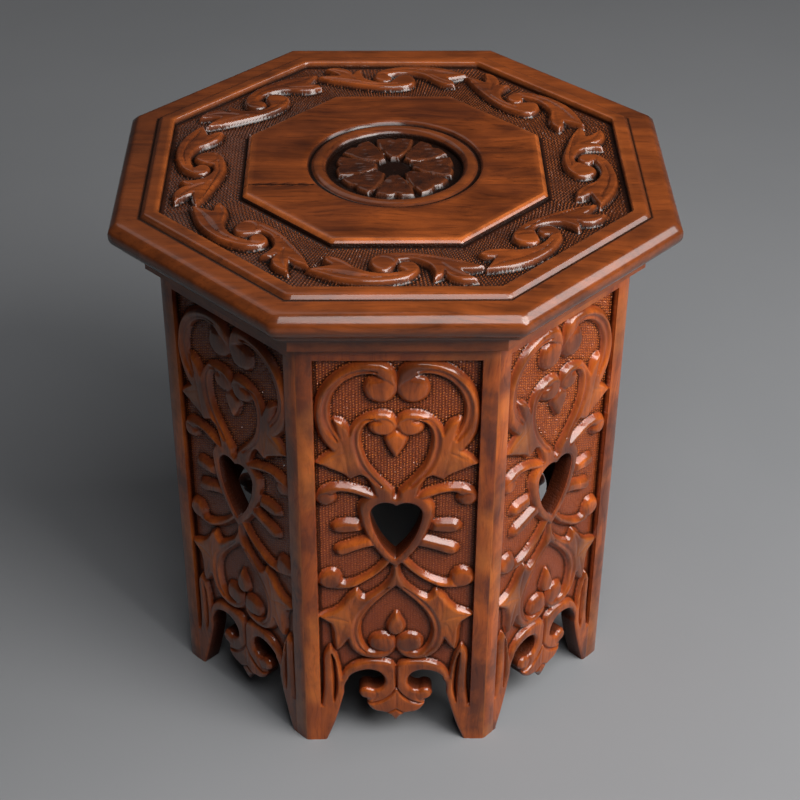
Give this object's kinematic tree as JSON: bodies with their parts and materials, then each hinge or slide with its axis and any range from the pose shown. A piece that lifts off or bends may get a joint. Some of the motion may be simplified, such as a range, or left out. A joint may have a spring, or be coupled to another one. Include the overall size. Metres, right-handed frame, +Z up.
{
  "type": "octagonal carved side table",
  "caption": "Small octagonal coffee table of varnished wood: moulded top with a carved band and rosette on a hollow base of carved, heart-pierced panels with arched feet.",
  "frame": {"origin": "on the floor under the middle of the table", "axes": "+Z up, the first panel faces -Y, +X to the right seen from that side"},
  "size_m": [0.38, 0.38, 0.402],
  "materials": {
    "top_wood": "stained hardwood under glossy varnish, dark in the sunk ground",
    "moulding_wood": "stained hardwood under glossy varnish",
    "panel_wood": "carved, stained hardwood under glossy varnish, dark in the sunk ground",
    "inner_wood": "bare sawn hardwood",
    "steel": "plain steel"
  },
  "bodies": {
    "root": {"top_board_front": "top_wood", "top_board_back": "top_wood", "cornice_strip_1": "moulding_wood", "cornice_strip_2": "moulding_wood", "cornice_strip_3": "moulding_wood", "cornice_strip_4": "moulding_wood", "cornice_strip_5": "moulding_wood", "cornice_strip_6": "moulding_wood", "cornice_strip_7": "moulding_wood", "cornice_strip_8": "moulding_wood", "side_panel_1": "panel_wood", "side_panel_2": "panel_wood", "side_panel_3": "panel_wood", "side_panel_4": "panel_wood", "side_panel_5": "panel_wood", "side_panel_6": "panel_wood", "side_panel_7": "panel_wood", "side_panel_8": "panel_wood", "corner_block_1": "inner_wood", "corner_block_2": "inner_wood", "corner_block_3": "inner_wood", "corner_block_4": "inner_wood", "corner_block_5": "inner_wood", "corner_block_6": "inner_wood", "corner_block_7": "inner_wood", "corner_block_8": "inner_wood", "top_block_1": "inner_wood", "top_block_2": "inner_wood", "top_block_3": "inner_wood", "top_block_4": "inner_wood", "top_block_5": "inner_wood", "top_block_6": "inner_wood", "top_block_7": "inner_wood", "top_block_8": "inner_wood", "top_screws": "steel", "block_screws": "steel", "cornice_brads": "steel"}
  },
  "joints": []
}
